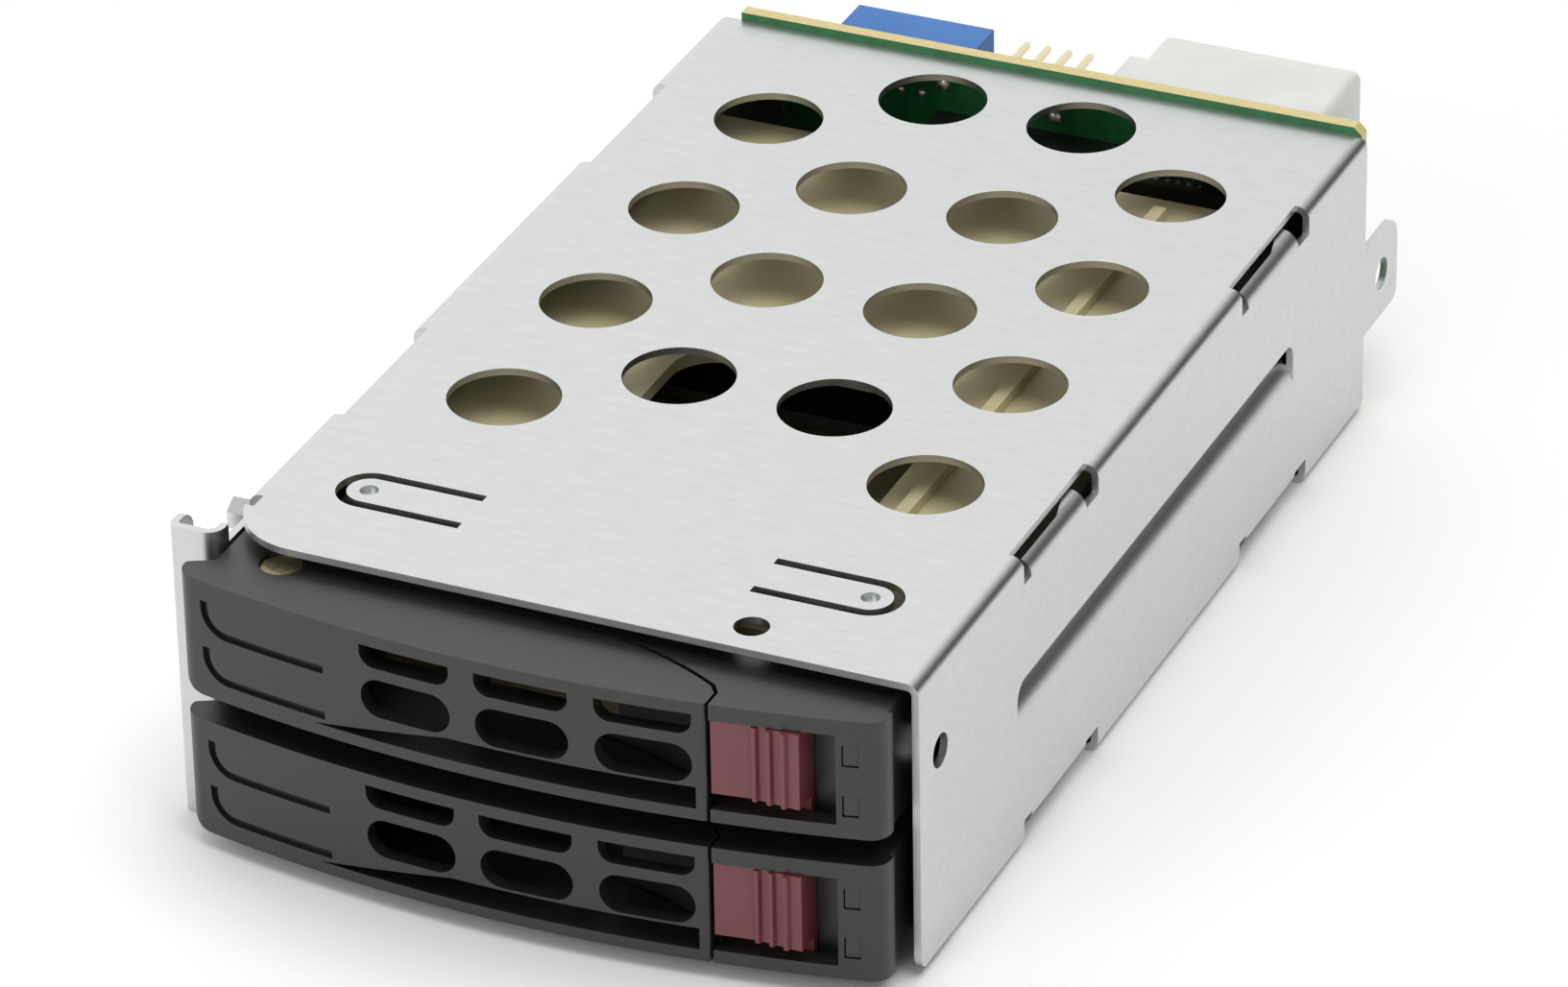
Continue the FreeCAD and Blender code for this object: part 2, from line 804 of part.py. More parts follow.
def hex_standoff():
    start = (-half_width - s.standoff_length, s.standoff_y, s.cage_height - s.standoff_drop)
    post = hexagon("standoff_post", "x", start, s.standoff_flats, s.standoff_length)
    spigot = rod("standoff_spigot", "x", (-half_width,) + start[1:], s.standoff_bore, s.gauge)
    blank = join("standoff_blank", [post, spigot])
    bore = rod("standoff_hole", "x", start, s.standoff_bore * 0.6, s.standoff_length)
    return cut("standoff", blank, [bore])


keep("hex_standoff", hex_standoff())


# Backplane board with its screws

board_rear = rear_face + s.board_thickness
board_top = s.cage_height + s.board_proud
board_left = s.board_shift - s.board_width / 2
board_right = s.board_shift + s.board_width / 2


def backplane_board():
    body = new_body("board")
    chamfer = s.board_chamfer
    outline = [
        (board_left, s.board_low), (board_right, s.board_low), (board_right, board_top - chamfer),
        (board_right - chamfer, board_top), (board_left, board_top),
    ]
    add(body, "y", rear_face, s.board_thickness, [outline])
    notch = rectangle(half_inside - 0.3, s.ear_low - 0.4, half_width, s.ear_high + 0.4)
    remove(body, "y", rear_face - 1, s.board_thickness + 2, [notch])
    remove(body, "y", rear_face - 1, s.board_thickness + 2, board_holes())
    return body


def board_screw(name, x, level):
    """A screw from behind: its head bears on the board and its thread ends past the tab."""
    head_radius = s.board_screw_radius * 1.7
    head = rod(f"{name}_head", "y", (x, board_rear, level), head_radius, 1.6)
    length = s.board_thickness + s.gauge + 1.5
    shank = rod(f"{name}_shank", "y", (x, board_rear - length, level), s.board_screw_radius, length)
    socket = hexagon(f"{name}_socket", "y", (x, board_rear + 0.6, level), head_radius * 0.8, 1.0)
    return cut(name, join(f"{name}_blank", [head, shank]), [socket])


def board_screws():
    screws = []
    for side in (-1, 1):
        for level in tab_levels:
            screws.append(board_screw(f"board_screw_{len(screws)}", side * s.board_screw_x, level))
    return group("board_screw_set", screws)


keep("backplane_board", backplane_board())
keep("board_screws", board_screws())


# Connectors on the rear of the board

def signal_connector(name, top):
    """A keyed plug for a data cable: a shroud round an L-shaped tongue."""
    low = top - s.signal_height
    right = s.signal_left + s.signal_width
    size = (s.signal_width, s.signal_length, s.signal_height)
    shroud = block(f"{name}_shroud", (s.signal_left, board_rear, low), size)
    wall = 1.1
    inside = block(f"{name}_inside", (s.signal_left + wall, board_rear + 2, low + wall),
                   (s.signal_width - 2 * wall, s.signal_length, s.signal_height - 2 * wall))
    tongue = block(f"{name}_tongue", (s.signal_left + 2.6, board_rear + 1, low + 2.7),
                   (s.signal_width - 5.2, s.signal_length - 2, 1.1))
    foot = block(f"{name}_foot", (right - 3.7, board_rear + 1, low + 1.8), (1.1, s.signal_length - 2, 2.0))
    return join(name, [cut(f"{name}_shell", shroud, [inside]), tongue, foot])


def pin_header():
    """Four square pins in a moulded strip."""
    side = s.pin_pitch
    corner = (s.header_left, board_rear, s.header_level - side / 2)
    base = block("header_strip", corner, (side * s.pin_count, side, side))
    bore = (s.pin_side, side + 2, s.pin_side)
    holes = [block(f"header_hole_{index}", pin_corner(index, board_rear - 1), bore)
             for index in range(int(float(s.pin_count)))]
    return cut("header", base, holes)


def pin_corner(index, y):
    centre = s.header_left + s.pin_pitch * (index + 0.5)
    return centre - s.pin_side / 2, y, s.header_level - s.pin_side / 2


def header_pins():
    size = (s.pin_side, s.pin_length, s.pin_side)
    pins = [block(f"header_pin_{index}", pin_corner(index, board_rear), size)
            for index in range(int(float(s.pin_count)))]
    return group("header_pin_set", pins)


power_low = s.power_top - s.power_height
power_pin_level = power_low + s.power_height / 2


def power_pin_x(index):
    return s.power_left + s.power_width / 2 + s.power_pin_pitch * (index - 1.5)


def power_connector():
    """A four-way power inlet with two chamfered lower corners and a mounting wing."""
    body = new_body("power_inlet")
    left, right = s.power_left, s.power_left + s.power_width
    wall = s.power_wall
    key = 2.6
    outline = [(left, power_low + key), (left + key, power_low), (right - key, power_low),
               (right, power_low + key), (right, s.power_top), (left, s.power_top)]
    add(body, "y", board_rear, s.power_length, [outline])
    round_edges(body, 1.0, runs_along("y", (left, s.power_top), (right, s.power_top)))
    roof = s.power_top - wall
    hollow = [(left + wall, power_low + key), (left + key, power_low + wall),
              (right - key, power_low + wall), (right - wall, power_low + key),
              (right - wall, roof), (left + wall, roof)]
    remove(body, "y", board_rear + 2, s.power_length, [hollow])
    wing = rectangle(left - 2.1, power_low + 2, left + 0.5, s.power_top - 0.6)
    add(body, "y", board_rear, s.power_length - 4.8, [wing])
    holes = [(power_pin_x(index), power_pin_level, s.power_pin_radius) for index in range(4)]
    remove(body, "y", board_rear - 1, 4, holes)
    return body


def power_pins():
    pins = [rod(f"power_pin_{index}", "y", (power_pin_x(index), board_rear, power_pin_level),
                s.power_pin_radius, s.power_length - 2) for index in range(4)]
    return group("power_pin_set", pins)


keep("upper_signal_connector", signal_connector("upper_signal", s.signal_top))
keep("lower_signal_connector", signal_connector("lower_signal", s.signal_top - s.signal_pitch))
keep("pin_header", pin_header())
keep("header_pins", header_pins())
keep("power_connector", power_connector())
keep("power_pins", power_pins())


# Drive receptacles on the front of the board, one for each bay

contact_pitch = 1.27
signal_contacts = 7
power_contacts = 15


def drive_receptacle(name):
    """A blade socket: a body with one long and one short slot joined by a key wall."""
    low = s.receptacle_low
    front = rear_face - s.receptacle_length
    shell = block(f"{name}_body", (s.receptacle_left, front, low),
                  (s.receptacle_width, s.receptacle_length, s.receptacle_height))
    tool_y = front - 1
    depth = s.receptacle_length - 1
    mouth = block(f"{name}_mouth", (s.receptacle_left + 1.5, tool_y, low + 1.4),
                  (s.receptacle_width - 3, depth, 3.0))
    tongue = block(f"{name}_tongue", (s.receptacle_left + 3.5, front + 0.8, low + 2.3),
                   (s.receptacle_width - 7, s.receptacle_length - 2.2, 1.2))
    gap = block(f"{name}_gap", (receptacle_contact_x(signal_contacts) + 0.1, front, low + 2),
                (1.8, s.receptacle_length - 2, 1.8))
    return join(name, [cut(f"{name}_shell", shell, [mouth]), cut(f"{name}_blade", tongue, [gap])])


def receptacle_contact_x(index):
    """Contacts run in one row, with a wider step between the signal and the power group."""
    step = 3 if index >= signal_contacts else 0
    return s.receptacle_left + 4.2 + contact_pitch * index + step


def receptacle_contacts(name):
    level = s.receptacle_low + 3.5
    front = rear_face - s.receptacle_length + 1.2
    length = s.receptacle_length - 3.2
    strips = [block(f"{name}_{index}", (receptacle_contact_x(index), front, level), (0.6, length, 0.2))
              for index in range(signal_contacts + power_contacts)]
    return group(name, strips)


def status_leds():
    """One small lamp behind each light pipe."""
    lamps = []
    for deck in decks:
        for level in (s.lower_window, s.upper_window):
            low = deck + level + s.window_height / 2 - 0.8
            lamps.append(block(f"lamp_{len(lamps)}", (s.rail_outer - 1.7, rear_face - 2, low), (1.6, 2, 1.6)))
    return group("lamp_set", lamps)


keep("status_leds", status_leds())


# Lever: a hollow bowed handle with a toe that bears on the cage's flange

def lever_outline():
    left, toe, root = s.lever_left, -s.toe_front, s.toe_root
    right = s.lever_right
    return [
        (left, front_at(left), s.front_radius), (right, front_at(right)), (right, -5.6),
        (right - 0.9, -4.5, s.seam_radius), (s.seam_end, 1.0), (-12, s.lever_back),
        (-25.2, s.lever_back), (-28.8, 5.6),
        (-33, s.hook_back), (root, s.hook_back), (root, toe), (left, -s.toe_tip),
    ]


def lever_body():
    body = new_body("lever_shell")
    high = s.bezel_height
    left, right = s.lever_left, s.lever_right
    add(body, "z", 0, high, [lever_outline()])
    round_edges(body, 2.2, runs_along("z", (left, front_at(left))))
    round_edges(body, 0.5, runs_along("z", (left, -s.toe_tip), (right, front_at(right)), (right, -5.6)))
    wall = 1.8
    cavity_left, cavity_right = s.toe_root + wall, right - 1.2
    inset = s.front_skin
    cavity = [
        (cavity_left, front_at(cavity_left, inset) + 1.2),
        (cavity_left + 1.2, front_at(cavity_left + 1.2, inset), s.front_radius - inset),
        (cavity_right, front_at(cavity_right, inset)), (cavity_right, 9), (cavity_left, 9),
    ]
    remove(body, "z", s.skin, high - 2 * s.skin, [cavity])
    remove(body, "y", -12, 5.6, lever_vents())
    recess = [(s.recess_start, s.recess_low), (right - 1.1, s.recess_low), (right - 1.1, s.recess_high),
              (s.recess_full, s.recess_high)]
    remove(body, "y", -12, 6.2, [recess])
    pivot = (s.pivot_x, s.pivot_y)
    remove(body, "z", -1, high + 2, [pivot + (s.pin_radius + s.pin_fit,)])
    remove(body, "z", high - s.skin + 0.4, s.skin, [pivot + (s.pin_head + s.pin_recess,)])
    bend = s.lever_corner
    corner = [(left - 1, -1), (left + bend, -1), (left + bend, 0, -bend), (left, bend), (left - 1, bend)]
    remove(body, "y", -12, 12, [corner])
    return body


def lever_vents():
    """Three columns of two slots: flat-topped above and round-ended below."""
    loops = []
    for column in range(3):
        centre = s.vent_slot_first + s.vent_slot_pitch * column
        left, right = centre - s.vent_slot_width / 2, centre + s.vent_slot_width / 2
        bend = 1.6
        low, high = s.upper_vent_low, s.upper_vent_high
        loops.append([(left + bend, low), (right - bend, low, bend), (right, low + bend), (right, high),
                      (left, high), (left, low + bend, bend)])
        low, high = s.lower_vent_low, s.lower_vent_high
        radius = (high - low) / 2
        loops.append([(left + radius, low), (right - radius, low, radius), (right - radius, high),
                      (left + radius, high, radius)])
    return loops


def grip_loop(low):
    """An L-shaped groove: down the left end and along the underside of a finger pad."""
    left, right, wide = s.grip_left, s.grip_right, s.grip_width
    bend = 2.2
    outer = bend + wide
    return [
        (left, low + 3.9), (left, low + outer, outer), (left + outer, low), (right, low), (right, low + wide),
        (left + outer, low + wide, -bend), (left + wide, low + outer), (left + wide, low + 3.9),
    ]


def lever():
    """The lever with its two finger grooves, which keep one depth round the bowed face."""
    body = lever_body()
    grooves = new_body("lever_grooves")
    add(grooves, "y", -12, 12, [grip_loop(2.0), grip_loop(7.4)])
    axis = (s.front_centre, front_curve_y, 0)
    outside = rod("bow_outside", "z", axis, s.front_radius + 1, s.bezel_height)
    inside = rod("bow_inside", "z", axis, s.front_radius - s.grip_depth, s.bezel_height)
    bow = cut("bow", outside, [inside])
    tool = doc.addObject("Part::Common", "groove_tool")
    tool.Base, tool.Tool = grooves, bow
    return cut("lever", body, [tool])


# Bezel: the fixed front of the carrier, round the release button and behind the lever

spring_wall = s.bezel_right - s.bezel_side
leg_right = s.leg_left + s.leg_width


def bezel():
    body = new_body("bezel")
    high, skin = s.bezel_height, s.skin
    left, right, back = s.bezel_left, s.bezel_right, s.bezel_back
    start = s.lever_right + s.seam
    gap = s.seam
    wall_front, wall_back = s.lever_back + gap + 0.1, s.lever_back + 2.0
    outline = [
        (start, front_at(start), s.front_radius), (right, front_at(right)), (right, back),
        (20.5, back), (20.5, wall_back), (-24, wall_back), (-24, back), (left, back),
        (left, back - 1.5), (-25, back - 1.5), (-25, wall_front), (-12, wall_front),
        (s.seam_end + 0.1, 1.0 + gap, -(s.seam_radius + gap)), (start - 0.9, -4.5 + gap),
        (start, -5.6 + gap / 2),
    ]
    add(body, "z", 0, high, [outline])
    round_edges(body, s.bezel_corner, runs_along("z", (right, front_at(right))))
    step = rectangle(right - s.bezel_step, front_at(right) + s.bezel_corner + 0.1, right + 1, back + 1)
    remove(body, "z", -1, high + 2, [step])
    remove(body, "z", skin, high - 2 * skin, [rectangle(22, -1.6, spring_wall, back + 1)])
    wedge = [(2, 2.9), (11.5, 0.6), (17.4, -1.9), (19.2, -1.9), (19.2, 5), (2, 5)]
    remove(body, "z", skin, high - 2 * skin, [wedge])
    windows = [rectangle(-23 + 13 * column, 2.4, -12 + 13 * column, 11.2) for column in range(3)]
    remove(body, "y", wall_front - 2, wall_back - wall_front + 3, windows)
    button_pocket(body)
    remove(body, "y", front_at(s.window_left) - 2, 9, light_windows())
    for level in pipe_levels():
        notch = rectangle(right - 2.0, 6.4, right + 1, back + 1)
        remove(body, "z", level - 0.1, s.pipe_side + 0.2, [notch])
    pivot_ears(body)
    web = rectangle(27.2, skin / 2, 28.8, high - skin / 2)
    add(body, "y", s.boss_front, back - s.boss_front, [web])
    add(body, "y", s.boss_front, back - s.boss_front, [(28, 7.0, 2.6)])
    holes = [(28, 7.0, 1.2), (-30.5, 7.0, 1.2)]
    remove(body, "y", back - 1.5, 3, holes)
    return body


def button_pocket(body):
    """The button's opening, with a wider chamber behind its front lip and a slot for the button's leg."""
    start = s.lever_right - 1
    floor = -s.pocket_floor
    mouth = rectangle(start, -12, s.pocket_right, floor)
    remove(body, "z", s.pocket_low, s.pocket_high - s.pocket_low, [mouth])
    chamber = rectangle(start, floor - s.button_flange - 2 * s.button_gap, s.pocket_right, floor)
    remove(body, "z", s.pocket_low - 0.6, s.pocket_high - s.pocket_low + 1.2, [chamber])
    room = s.button_gap + 0.05
    slot = rectangle(s.leg_left - room, floor - 0.5, leg_right + s.button_travel + room, 0)
    remove(body, "z", s.leg_low - room, s.leg_high - s.leg_low + 2 * room, [slot])


def light_windows():
    left = s.window_left
    return [rectangle(left, low, left + s.window_width, low + s.window_height)
            for low in (s.lower_window, s.upper_window)]


def pivot_ears(body):
    """Two ears inside the lever that hold its pin."""
    radius = s.ear_radius
    x, y = s.pivot_x, s.pivot_y
    back = s.bezel_back - 1
    loop = [(x - 1.4, back), (x - 1.4, y + 2.5), (x - radius, y, radius), (x + radius, y), (x + radius, back)]
    for low in (s.lower_ear, s.upper_ear):
        add(body, "z", low, s.ear_thickness, [loop])
    remove(body, "z", 0, s.bezel_height, [(x, y, s.pin_radius)])


def pivot_pin():
    """A brass pin with a flat head in the lever's recess."""
    base = 0.3
    high = s.bezel_height - s.skin + 0.45
    shank = rod("pin_shank", "z", (s.pivot_x, s.pivot_y, base), s.pin_radius, high - base)
    head = rod("pin_top", "z", (s.pivot_x, s.pivot_y, high), s.pin_head, 0.5)
    return join("pin", [shank, head])


# Release button with its spring

button_left = s.lever_right + s.seam + 0.1
button_right = s.pocket_right - s.button_travel - s.button_room


def release_button():
    """A thumb slide with three ridges, held by flanges above and below, and a leg that its spring bears on."""
    body = new_body("button")
    low, high = s.button_low, s.pocket_high - s.button_gap
    back = -s.pocket_floor - s.button_gap
    left, right = button_left, button_right
    face = -s.button_face
    outline = [(left, back), (left, face - 0.7)]
    for index in range(3):
        x = left + s.ridge_first + s.ridge_pitch * index
        outline += [(x, face + 0.1), (x + 0.15, face - 0.4), (x + 0.55, face - 0.4), (x + 0.75, face + 0.1)]
    outline += [(right, face + 0.1), (right, back)]
    add(body, "z", low, high - low, [outline])
    slope = [(left - 1, low - 1), (right - 0.5, low - 1), (right - 0.5, low), (left - 1, low + s.button_rise)]
    remove(body, "y", -12, 12, [slope])
    flange = rectangle(left, back - s.button_flange, right, back)
    lowest = s.pocket_low - 0.6 + s.button_gap
    add(body, "z", lowest, s.pocket_high - s.pocket_low + 1.2 - 2 * s.button_gap, [flange])
    leg = rectangle(s.leg_left, back - 0.3, leg_right, s.leg_back)
    add(body, "z", s.leg_low, s.leg_high - s.leg_low, [leg])
    seat = s.button_spring_radius + 0.4
    remove(body, "x", leg_right - s.spring_seat, s.spring_seat + 1, [(s.spring_y, s.spring_level, seat)])
    return body


def button_spring():
    end_gap = s.button_spring_wire / 2 + 0.05
    start = leg_right - s.spring_seat + end_gap
    length = spring_wall - start - end_gap
    centre = (start, s.spring_y, s.spring_level)
    return coil_spring("button_coil", centre, s.button_spring_radius, s.button_spring_wire, length, 8, "x")


def lever_spring():
    """A torsion coil round the pivot pin, between the ears."""
    low = s.lower_ear + s.ear_thickness + 1.0
    return coil_spring("lever_coil", (s.pivot_x, s.pivot_y, low), s.pin_radius + 0.55, 0.5, 3.0, 4, "z")


# Tray, drive blank and what is fixed to them

def tray():
    """Two side rails on runners, joined by a front wall and two floor bars, with light pipe channels."""
    body = new_body("tray")
    outer, inner = s.rail_outer, s.rail_outer - s.rail_thickness
    front, back = s.bezel_back, s.tray_rear
    rails = [rectangle(inner, front, outer, back), mirrored(rectangle(inner, front, outer, back))]
    add(body, "z", 0, s.tray_height, rails)
    add(body, "z", 0, 9.0, [rectangle(-inner - 0.5, front, inner + 0.5, front + s.tray_front_wall)])
    bars = [rectangle(-inner - 0.5, y, inner + 0.5, y + 8) for y in (68, 100)]
    add(body, "z", 0, s.tray_floor, bars)
    ledge = rectangle(s.runner_inner, front, inner + 0.3, back)
    add(body, "z", 0, s.tray_floor, [ledge, mirrored(ledge)])
    runner = rectangle(s.runner_inner, front, s.runner_outer, back)
    add(body, "z", -s.runner_depth, s.runner_depth + 0.5, [runner, mirrored(runner)])
    windows = [rectangle(-22 + 17 * column, 2.0, -9 + 17 * column, 7.4) for column in range(3)]
    remove(body, "y", front - 1, s.tray_front_wall + 2, windows)
    channel = rectangle(outer - s.pipe_channel, front - 1, outer + 1, back + 1)
    for level in pipe_levels():
        remove(body, "z", level - 0.1, s.pipe_side + 0.2, [channel])
    holes = [(28, 7.0, 1.6), (-30.5, 7.0, 1.6)]
    remove(body, "y", front - 1, s.tray_front_wall + 2, holes)
    rows = (s.drive_screw_front, s.drive_screw_rear)
    sides = [(y, s.drive_screw_level, s.drive_screw_radius) for y in rows]
    remove(body, "x", -outer - 1, 2 * outer + 2, sides)
    heads = [(y, s.drive_screw_level, s.drive_screw_head + 0.1) for y in rows]
    remove(body, "x", outer - 1.0, 2, heads)
    remove(body, "x", -outer - 1, 2, heads)
    return body


def pipe_levels():
    """The pipes run at the middle height of the two windows."""
    return [low + s.window_height / 2 - s.pipe_side / 2 for low in (s.lower_window, s.upper_window)]


def light_pipes():
    """Clear rods from the bezel's windows, out past its back, then along the right rail."""
    pipes = []
    inner, outer = s.rail_outer - s.pipe_channel + 0.1, s.rail_outer - 0.05
    left, right = s.window_left + 0.1, s.window_left + s.window_width - 0.1
    left_tip, right_tip = front_at(left) + 0.15, front_at(right) + 0.2
    for name, window, level in zip(("lower", "upper"), (s.lower_window, s.upper_window), pipe_levels()):
        body = new_body(f"{name}_pipe")
        end = s.tray_rear + 1
        route = [(left, left_tip), (right, right_tip), (right, 6.0), (outer, 9.6), (outer, end), (inner, end),
                 (inner, 10.1), (left, 7.2)]
        add(body, "z", level, s.pipe_side, [route])
        lens = [(left, left_tip), (right, right_tip), (right, right_tip + 1.4), (left, right_tip + 1.4)]
        add(body, "z", window + 0.1, s.window_height - 0.2, [lens])
        pipes.append(body)
    return group("pipe_pair", pipes)


def drive_blank():
    """A hollow moulding the size of a 2.5 inch drive, with a window and two long ribs."""
    body = new_body("blank")
    half, front, back = s.blank_half, s.blank_front, s.blank_rear
    low, high, shell = s.blank_low, s.blank_high, s.blank_shell
    add(body, "z", low, high - low, [rectangle(-half, front, half, back)])
    inside = rectangle(-half + 2.5, front + shell, half - 2.5, back - shell)
    remove(body, "z", low - 1, high - low - shell + 1, [inside])
    window = rectangle(s.blank_window_left, s.blank_window_front, s.blank_window_right, s.blank_window_rear)
    remove(body, "z", low - 1, high, [window])
    corners = [(x, y) for x in (s.blank_window_left, s.blank_window_right)
               for y in (s.blank_window_front, s.blank_window_rear)]
    round_edges(body, 5, runs_along("z", *corners))
    ribs = [rectangle(x, front + 4, x + shell, back - 4) for x in (-21.5, 20)]
    add(body, "z", high - 0.5, 1.9, ribs)
    rows = (s.drive_screw_front, s.drive_screw_rear)
    bosses = [(y, s.drive_screw_level, 2.4) for y in rows]
    for start in (-half, half - 6):
        add(body, "x", start, 6, bosses)
    holes = [(y, s.drive_screw_level, s.drive_screw_radius) for y in rows]
    for start in (-half - 1, half - 5):
        remove(body, "x", start, 6, holes)
    return body


def drive_screws():
    screws = []
    for side in (-1, 1):
        for y in (s.drive_screw_front, s.drive_screw_rear):
            name = f"drive_screw_{len(screws)}"
            seat = side * (s.rail_outer - 1.0)
            low_end = seat if side < 0 else seat - s.drive_screw_length
            head_start = seat - 0.95 if side < 0 else seat
            level = s.drive_screw_level
            shank = rod(f"{name}_shank", "x", (low_end, y, level), s.drive_screw_radius, s.drive_screw_length)
            head = rod(f"{name}_head", "x", (head_start, y, level), s.drive_screw_head, 0.95)
            screws.append(join(name, [shank, head]))
    return group("drive_screw_set", screws)


def bezel_screws():
    """Two screws from the tray into the back of the bezel."""
    back = s.bezel_back + s.tray_front_wall
    screws = []
    for x in (28, -30.5):
        name = f"bezel_screw_{len(screws)}"
        head = rod(f"{name}_head", "y", (x, back, 7.0), 2.2, s.blank_front - back - 0.2)
        neck = rod(f"{name}_neck", "y", (x, s.bezel_back, 7.0), 1.5, s.tray_front_wall)
        tip = rod(f"{name}_tip", "y", (x, s.bezel_back - 1.4, 7.0), 1.2, 1.4)
        screws.append(join(name, [head, neck, tip]))
    return group("bezel_screw_set", screws)


# The two carriers are alike, one bay above the other

for bay, deck in zip(("lower", "upper"), decks):
    keep(f"{bay}_tray", tray(), deck)
    keep(f"{bay}_bezel", bezel(), deck)
    keep(f"{bay}_lever", lever(), deck)
    keep(f"{bay}_pivot_pin", pivot_pin(), deck)
    keep(f"{bay}_release_button", release_button(), deck)
    keep(f"{bay}_button_spring", button_spring(), deck)
    keep(f"{bay}_lever_spring", lever_spring(), deck)
    keep(f"{bay}_light_pipes", light_pipes(), deck)
    keep(f"{bay}_drive_blank", drive_blank(), deck)
    keep(f"{bay}_drive_screws", drive_screws(), deck)
    keep(f"{bay}_bezel_screws", bezel_screws(), deck)
    keep(f"{bay}_drive_receptacle", drive_receptacle(f"{bay}_receptacle"), deck)
    keep(f"{bay}_receptacle_contacts", receptacle_contacts(f"{bay}_contacts"), deck)


# Recompute, check every object and write one file for each piece

doc.recompute()
failed = [thing.Name for thing in doc.Objects if "Invalid" in thing.State or "Error" in thing.State]
if failed:
    raise RuntimeError(f"These failed: {failed}")
os.makedirs("parts", exist_ok=True)
for node, thing in nodes.items():
    shape = thing.Shape
    if shape.isNull() or not shape.isValid():
        raise RuntimeError(f"{node} has no valid shape")
    shape.exportStep(f"parts/{node}.step")
    print(f"{node}: {len(shape.Solids)} solids, {shape.Volume:.1f} mm3")
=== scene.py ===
import json
import math

import bmesh
import bpy
from mathutils import Matrix, Vector


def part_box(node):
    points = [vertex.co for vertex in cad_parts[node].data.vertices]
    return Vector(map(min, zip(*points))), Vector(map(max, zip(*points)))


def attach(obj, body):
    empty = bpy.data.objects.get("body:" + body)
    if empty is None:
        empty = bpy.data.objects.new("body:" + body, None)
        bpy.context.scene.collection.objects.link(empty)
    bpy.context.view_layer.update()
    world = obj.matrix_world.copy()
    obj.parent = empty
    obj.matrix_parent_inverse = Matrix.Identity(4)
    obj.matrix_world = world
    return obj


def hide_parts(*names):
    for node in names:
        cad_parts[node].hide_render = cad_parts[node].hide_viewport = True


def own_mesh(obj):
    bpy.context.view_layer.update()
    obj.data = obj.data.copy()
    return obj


# The look of a two-bay drive cage: materials, small parts, light and camera.
# Lengths are in metres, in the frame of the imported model.

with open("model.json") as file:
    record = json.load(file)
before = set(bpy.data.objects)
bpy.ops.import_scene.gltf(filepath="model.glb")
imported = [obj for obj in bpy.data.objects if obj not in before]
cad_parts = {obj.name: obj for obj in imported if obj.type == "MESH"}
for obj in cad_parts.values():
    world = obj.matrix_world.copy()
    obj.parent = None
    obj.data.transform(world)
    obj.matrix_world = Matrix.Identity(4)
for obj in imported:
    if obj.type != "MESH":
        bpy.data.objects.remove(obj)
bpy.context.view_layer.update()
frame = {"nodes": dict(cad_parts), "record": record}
nodes = frame["nodes"]
scene = bpy.context.scene
MM = 0.001
BAYS = ("lower", "upper")

# Sizes of the small parts on the board and the receptacles, in millimetres
CONTACT_PITCH = 1.27
CONTACT_WIDTH = 0.5
CHIP_COLUMNS = (-27.5, -22.0, -4.0, 4.5, 25.0)
CHIP_TOP_ROW = 17.0
CHIP_ROW_PITCH = 4.2
CHIP_END = 0.4
CHIP_BODY = 1.2
CHIP_DEPTH = 1.25
CHIP_BODY_HEIGHT = 0.55
CHIP_END_HEIGHT = 0.6

# Radius and height of the solder domes, in millimetres
PEG_DOME = (0.9, 0.6)
HEADER_DOME = (0.85, 0.5)
POWER_DOME = (1.5, 0.7)
SIGNAL_DOME = (0.5, 0.35)

# Half the width of the pins whose domes these are, in millimetres
HEADER_HALF = 0.32
POWER_HALF = 1.05

# How far the edges are rounded, and how far the floor lies below the model, in millimetres
MOULDED_EDGE = 0.25
SHEET_EDGE = 0.12
FLOOR_GAP = 0.02


# Materials

def new_material(name, colour, roughness, metallic=0.0, specular=0.5):
    """A material with its main shader, whose plain numbers sit on the shader's own sockets."""
    material = bpy.data.materials.new(name)
    material.use_nodes = True
    shader = material.node_tree.nodes["Principled BSDF"]
    shader.inputs["Base Color"].default_value = (*colour, 1.0)
    shader.inputs["Roughness"].default_value = roughness
    shader.inputs["Metallic"].default_value = metallic
    shader.inputs["Specular IOR Level"].default_value = specular
    return material, shader


def add_node(material, kind, **inputs):
    """Adds a shader node and sets the inputs that are named."""
    node = material.node_tree.nodes.new(kind)
    for name, value in inputs.items():
        node.inputs[name.replace("_", " ")].default_value = value
    return node


def link(material, source, target):
    material.node_tree.links.new(source, target)


def place_pattern(material, scale=(1, 1, 1)):
    """Object coordinates in millimetres, stretched along the axes as asked."""
    place = add_node(material, "ShaderNodeTexCoord")
    mapping = add_node(material, "ShaderNodeMapping")
    mapping.inputs["Scale"].default_value = [1000 * part for part in scale]
    link(material, place.outputs["Object"], mapping.inputs["Vector"])
    return mapping.outputs["Vector"]


def noise(material, vector, scale, detail=4.0, roughness=0.5):
    """Noise over a pattern's coordinates."""
    node = add_node(material, "ShaderNodeTexNoise", Scale=scale, Detail=detail, Roughness=roughness)
    link(material, vector, node.inputs["Vector"])
    return node.outputs["Fac"]


def ramp(material, value, low, high, start=0.0, end=1.0):
    """Maps a value between two limits to a range."""
    node = add_node(material, "ShaderNodeMapRange")
    for name, number in (("From Min", low), ("From Max", high), ("To Min", start), ("To Max", end)):
        node.inputs[name].default_value = number
    link(material, value, node.inputs["Value"])
    return node.outputs["Result"]


def blend_colours(material, factor, first, second):
    """The first colour where the factor is 0, the second where it is 1."""
    node = material.node_tree.nodes.new("ShaderNodeMix")
    node.data_type = "RGBA"
    node.inputs["A"].default_value = (*first, 1.0)
    node.inputs["B"].default_value = (*second, 1.0)
    link(material, factor, node.inputs["Factor"])
    return node.outputs["Result"]


